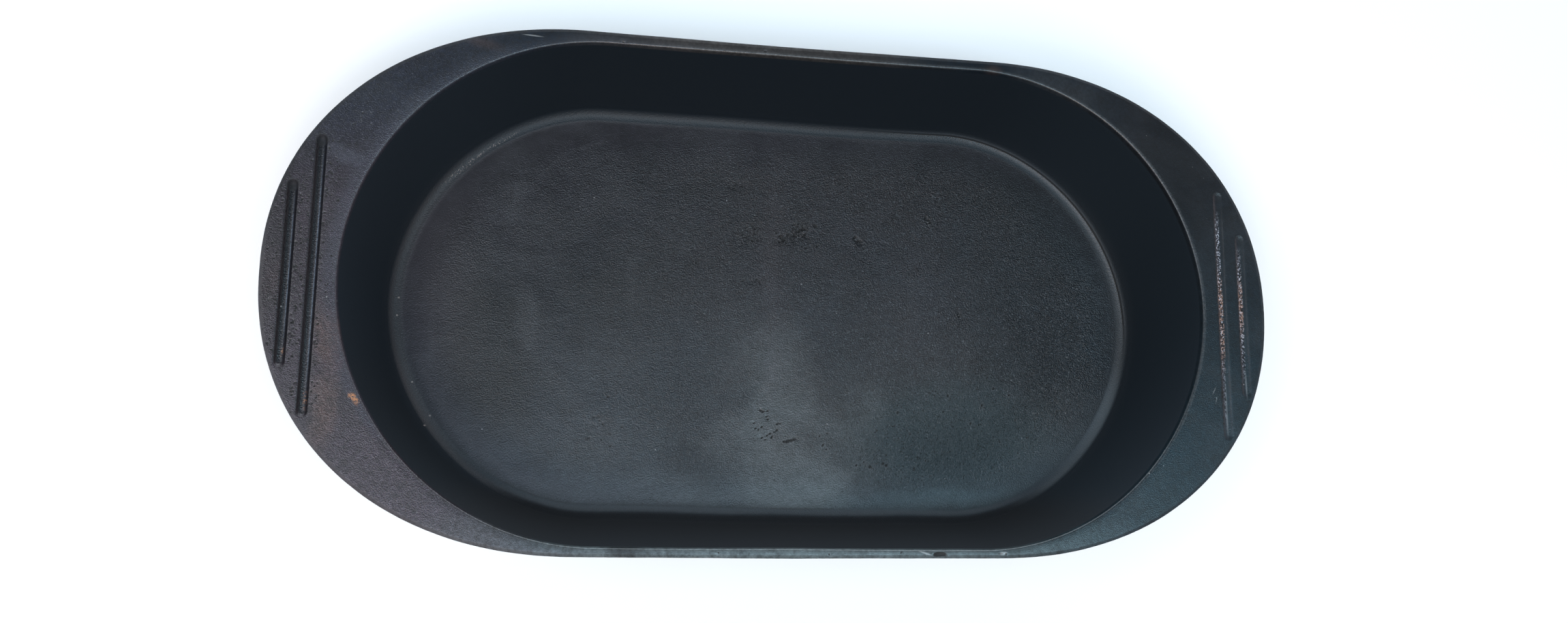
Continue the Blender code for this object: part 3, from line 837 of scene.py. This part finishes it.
    # painted glint along their inner flanks
    colour = n.mix(n.math("MULTIPLY", glint, .80), colour, (.120, .150, .200))
    shade = both(on_top, any_of(bar(-179.55, .4, .42, 51.0, .25), bar(-188.65, .4, .42, 33.0, .25)))
    colour = n.mix(n.math("MULTIPLY", shade, .75), colour, (.0030, .0042, .0070))
    rust_left = both(any_of(bar(-180.6, -46.5, .8, 3.0, .4, 2.0), bar(-189.7, -28.5, .7, 1.6, .4, 1.6)), n.ramp(grit, .52, .62))
    rust_spot = both(on_top, n.spot(near, (-163.4, -45.6), (3.0, 1.3), -56, (.2, 1.2)), n.ramp(speck, .37, .52))
    rust = any_of(both(on_top, n.math("MULTIPLY", rust_right, .58)), both(on_top, n.math("MULTIPLY", rust_left, .45)), rust_spot)
    colour = n.mix(n.math("MULTIPLY", rust, .80), colour, (.400, .175, .075))
    pore = both(n.ramp(n.cells(n.drift(where, 1.1, .5), .72), .15, .28, 1.0, 0.0), n.ramp(n.noise(where, .33, 2.0, .6), .36, .48),
                n.ramp(x, -178.0, -168.0, 1.0, 0.0), on_top)
    ragged = any_of(bar(179.2, -1.0, .55, 49.0, .35), bar(188.4, -1.2, .5, 31.0, .35))
    hole = both(on_top, ragged, n.ramp(n.noise(where, .85, 2.0, .6), .52, .60))

    # craggy clusters of pits on the cooking floor
    crag = any_of(n.spot(near, (10.0, 37.5), (7.6, 5.0), 30, (.3, 1.3)), n.spot(near, (3.2, 34.4), (5.0, 2.4), 25, (.3, 1.3)),
                  n.math("MULTIPLY", n.spot(near, (-12.5, 35.5), (7.5, 5.0), 30, (.2, 1.3)), .85), n.spot(near, (37.4, 34.4), (3.4, 1.7), -40, (.3, 1.3)),
                  n.math("MULTIPLY", n.spot(near, (-18.0, 57.0), (5.0, 2.2), 10, (.2, 1.3)), .5), n.math("MULTIPLY", n.spot(near, (-35.0, 24.0), (7.0, 7.0), 0, (.2, 1.3)), .35),
                  n.math("MULTIPLY", n.spot(near, (-9.0, 14.5), (4.0, 1.6), 10, (.2, 1.3)), .5), n.math("MULTIPLY", n.spot(near, (-75.0, -50.0), (7.0, 7.0), 0, (.2, 1.3)), .30),
                  n.spot(near, (69.4, 45.9), (1.8, 1.8), 0, (.3, 1.3)), n.spot(near, (83.2, 3.2), (1.2, 1.4), 0, (.3, 1.3)))
    grit_fine = n.noise(n.turned(where, (7, 16, 27)), .95, 2.0, .6, .3)
    holes = any_of(*(n.spot(near, at, (1.2, .85), turn, (.5, 1.1)) for at, turn in (((-73.6, -46.4), 20), ((-71.4, -49.6), -30), ((-78.2, -55.2), 10), ((-69.0, -53.0), 0), ((9.0, 41.0), 40), ((13.0, 39.4), -20), ((4.4, 33.6), 15))))
    crag_dark = both(on_floor, any_of(both(crag, n.ramp(grit_fine, .48, .56)), n.math("MULTIPLY", holes, .75)))
    crag_light = both(on_floor, crag, n.ramp(grit_fine, .34, .42, 1.0, 0.0))

    # painted glints and painted shade: where the skin is coarse, light specks stand in for glints on its crests and
    # dark specks for shade in its hollows
    dot = n.noise(n.turned(where, (31, -12, 8)), 1.35, 1.0, .5)
    colour = n.mix(both(on_floor, n.ramp(peel, .2, 1.2, 0.0, .9), n.ramp(dot, .60, .74)), colour, (.078, .092, .104))
    colour = n.mix(both(on_floor, n.ramp(peel, .2, 1.2, 0.0, .9), n.ramp(dot, .29, .39, 1.0, 0.0)), colour, (.0020, .0026, .0034))
    fleck_at = any_of(*(n.spot(where, at, (.5, .42), 0, (.4, 1.2)) for at in ((-157.2, 1.2), (-157.4, -6.2), (-149.8, -33.6), (-142.0, -47.2), (-143.6, -51.4))))
    trail = any_of(n.spot(where, (-133.6, 58.4), (13.0, 1.0), 44, (.4, 1.2)), n.spot(where, (-119.0, 70.6), (9.0, .8), 36, (.4, 1.2)))
    flecks = any_of(fleck_at, both(trail, n.ramp(sparkle, .56, .63)))
    colour = n.mix(both(n.ramp(z, 9.0, 12.0, 1.0, 0.0), flecks, .75), colour, (.300, .260, .240))
    # painted shade: the outer edge of the flange is darker towards the far left
    colour = n.mix(both(on_top, n.ramp(rim, .2, .9, .50, 0.0), n.ramp(n.math("SUBTRACT", y, x), 130.0, 230.0)), colour, (.0040, .0050, .0060))
    colour = n.mix(both(on_top, n.ramp(rim, .2, .9, .24, 0.0), n.ramp(x, -110.0, -60.0, 1.0, 0.0), n.ramp(y, 0.0, 40.0, 1.0, 0.0)), colour, (.150, .140, .150))

    # pits; the parting line, painted dark in its crease as shade and light on the ridge above it as a highlight; loose
    # bright grains
    dark = any_of(n.math("MULTIPLY", n.ramp(pit, .08, .5), .92), n.math("MULTIPLY", pore, .80), hole, n.ramp(line, -.75, -.25, .95, 0.0), n.math("MULTIPLY", crag_dark, .9))
    colour = n.mix(n.math("MULTIPLY", crag_light, .45), colour, (.150, .156, .164))
    colour = n.mix(dark, colour, (.0030, .0036, .0044))
    bright = any_of(n.ramp(pit, -.7, -.25, .16, 0.0), n.ramp(line, .2, .8, 0.0, .14))
    colour = n.mix(bright, colour, (.120, .126, .134))
    grain_at = n.cells(where, .20)
    grains = both(n.ramp(grain_at, .035, .075, 1.0, 0.0), n.ramp(n.noise(where, .05, 2.0, .6), .57, .64), any_of(on_floor, on_top))
    colour = n.mix(n.math("MULTIPLY", grains, .5), colour, (.420, .420, .430))
    scratch = both(on_top, any_of(n.math("MULTIPLY", n.spot(where, (175.6, -33.2), (1.9, .26), 62, (.3, 1.2)), .55), n.math("MULTIPLY", n.spot(where, (176.4, -36.8), (1.5, .24), 78, (.3, 1.2)), .5),
                                  n.spot(where, (51.9, -99.6), (3.0, .42), -17, (.5, 1.1)),
                                  n.spot(where, (-105.6, 98.6), (4.6, .35), -3, (.4, 1.1)),
                                  n.spot(where, (83.4, -99.5), (1.8, .8), 10, (.4, 1.1))))
    colour = n.mix(n.math("MULTIPLY", scratch, .6), colour, (.300, .315, .325))
    n.set(shader, "Base Color", colour)

    # the walls and the fillet are matt, but for a glossy band low on the fillet at the far right; use polishes the
    # floor and the flanges
    rough = n.math("ADD", n.ramp(cloud, .35, .65, .335, .375), n.math("MULTIPLY", peel, .05))
    rough = n.math("SUBTRACT", rough, n.math("MULTIPLY", both(on_floor, smooth), .02))
    polished = any_of(on_top, n.ramp(foot, 0.0, 2.5))
    far_right = both(n.ramp(n.math("ADD", y, n.math("MULTIPLY", x, .5)), 60.0, 85.0), n.math("ADD", n.ramp(z, 5.05, 5.6), n.ramp(z, 5.95, 6.2, 0.0, -1.9)), n.ramp(z, 7.5, 10.0, 1.0, 0.0), n.ramp(x, 40.0, 90.0))
    fillet_rough = n.math("SUBTRACT", n.ramp(z, 9.0, 14.0, .58, .62), n.math("MULTIPLY", far_right, .17))
    fillet_rough = n.math("ADD", fillet_rough, both(at_near, n.ramp(z, 5.2, 6.0), .18))
    rough = n.math("ADD", n.math("MULTIPLY", rough, polished), n.math("MULTIPLY", n.math("SUBTRACT", 1.0, polished), fillet_rough))
    rough = n.math("MAXIMUM", rough, n.math("MULTIPLY", any_of(rust, dark, groove_end_shade, both(on_top, n.ramp(rim, .2, 1.1, 1.0, 0.0))), .75))
    rough = n.math("ADD", rough, n.math("MULTIPLY", both(on_top, uneven), -.09))
    n.set(shader, "Roughness", rough)
    dull = both(at_near, n.ramp(z, 5.05, 5.5), n.ramp(z, 6.5, 9.0, .26, 0.0))
    n.set(shader, "Metallic", n.math("ADD", dull, n.math("SUBTRACT", .25, n.math("MULTIPLY", rust, .25))))
    shader.inputs["Specular IOR Level"].default_value = .60

    # relief: orange peel where the casting is coarse, fine sand grain everywhere
    wide = n.noise(n.turned(where, (12, 9, 33)), .62, 1.0, .5, .2)
    close = n.noise(n.turned(where, (-14, 11, -21)), 1.9, 1.5, .55, .2)
    fine = n.noise(n.turned(where, (20, 0, 15)), 2.4, 2.0, .5)
    skin_height = n.math("ADD", n.math("MULTIPLY", wide, .42), n.math("MULTIPLY", close, 1.30))
    height = n.math("ADD", both(peel, skin_height), n.math("MULTIPLY", fine, .10))
    height = n.math("SUBTRACT", height, n.math("MULTIPLY", both(on_floor, crag), n.math("MULTIPLY", grit_fine, 1.3)))
    bump = n.new("ShaderNodeBump", Height=height, Distance=.00044)
    bump.inputs["Strength"].default_value = 1.0
    n.set(shader, "Normal", bump.outputs["Normal"])
    return mat


mesh.materials.append(seasoned_iron())
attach(pan, "root")
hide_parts("pan_casting")
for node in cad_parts.values():
    node.data.materials.clear()
    node.data.materials.append(mesh.materials[0])

# ---------------------------------------------------------------- floor, light, camera
floor_mesh = bpy.data.meshes.new("studio_floor")
floor_mesh.from_pydata([(-4, -4, 0), (4, -4, 0), (4, 4, 0), (-4, 4, 0)], [], [(0, 1, 2, 3)])
floor = bpy.data.objects.new("studio_floor", floor_mesh)
bpy.context.scene.collection.objects.link(floor)
paper = bpy.data.materials.new("pale_paper")
paper.use_nodes = True
p = paper.node_tree.nodes["Principled BSDF"]
p.inputs["Base Color"].default_value = (.93, .93, .93, 1)
p.inputs["Roughness"].default_value = .9
p.inputs["Specular IOR Level"].default_value = .1
floor_mesh.materials.append(paper)

world = bpy.data.worlds.new("studio")
world.use_nodes = True
world.node_tree.nodes["Background"].inputs["Color"].default_value = (1.0, 1.0, 1.0, 1)
world.node_tree.nodes["Background"].inputs["Strength"].default_value = .02
# beyond the floor's edge the room is pale too, though it gives little light
seen = world.node_tree.nodes.new("ShaderNodeLightPath")
level = world.node_tree.nodes.new("ShaderNodeMapRange")
level.inputs["To Min"].default_value, level.inputs["To Max"].default_value = .02, .80
world.node_tree.links.new(seen.outputs["Is Camera Ray"], level.inputs["Value"])
world.node_tree.links.new(level.outputs["Result"], world.node_tree.nodes["Background"].inputs["Strength"])
bpy.context.scene.world = world


def softbox(name, size_x, size_y, at, aim, watts, colour):
    data = bpy.data.lights.new(name, "AREA")
    data.shape, data.size, data.size_y = "RECTANGLE", size_x, size_y
    data.energy, data.color = watts, colour
    lamp = bpy.data.objects.new(name, data)
    lamp.location = at
    lamp.rotation_euler = (Vector(aim) - Vector(at)).to_track_quat("-Z", "Y").to_euler()
    lamp.visible_camera = False
    bpy.context.scene.collection.objects.link(lamp)
    return lamp


softbox("near_left", .90, .60, (-.35, -.45, 1.5), (-.35, -.45, 0), 6.8, (.72, .78, 1.0))
softbox("near_right", .90, .60, (.55, -.45, 1.5), (.55, -.45, 0), 12.6, (.62, .88, 1.0))
softbox("low_left", .90, .84, (-.35, -1.17, 1.5), (-.35, -1.17, 0), 18.2, (1.0, .80, .66))
softbox("far_left", .70, 1.20, (-1.15, -.30, 1.5), (-1.15, -.30, 0), 16.3, (.86, .97, 1.0))
softbox("north", 4.4, 1.4, (0, 2.25, .8), (0, 0, .8), 77, (.86, .94, 1.0))
softbox("east", 4.4, 1.4, (2.25, 0, .8), (0, 0, .8), 19, (1.0, .87, .91))

cam_data = bpy.data.cameras.new("camera")
cam_data.sensor_fit, cam_data.sensor_width = "HORIZONTAL", 36.0
cam_data.lens = 1800 / 2300 * 36
cam_data.clip_start, cam_data.clip_end = .01, 50
camera = bpy.data.objects.new("camera", cam_data)
right = Vector((.985472, .011314, .169459))
down = Vector((.038938, -.986252, -.160593))
ahead = right.cross(down)
turn = Matrix((right, -down, -ahead)).transposed().to_4x4()
camera.matrix_world = Matrix.Translation((-.08394, -.08627, .05700 + .46691)) @ turn
bpy.context.scene.collection.objects.link(camera)
bpy.context.scene.camera = camera
bpy.context.scene.view_settings.view_transform = "Standard"
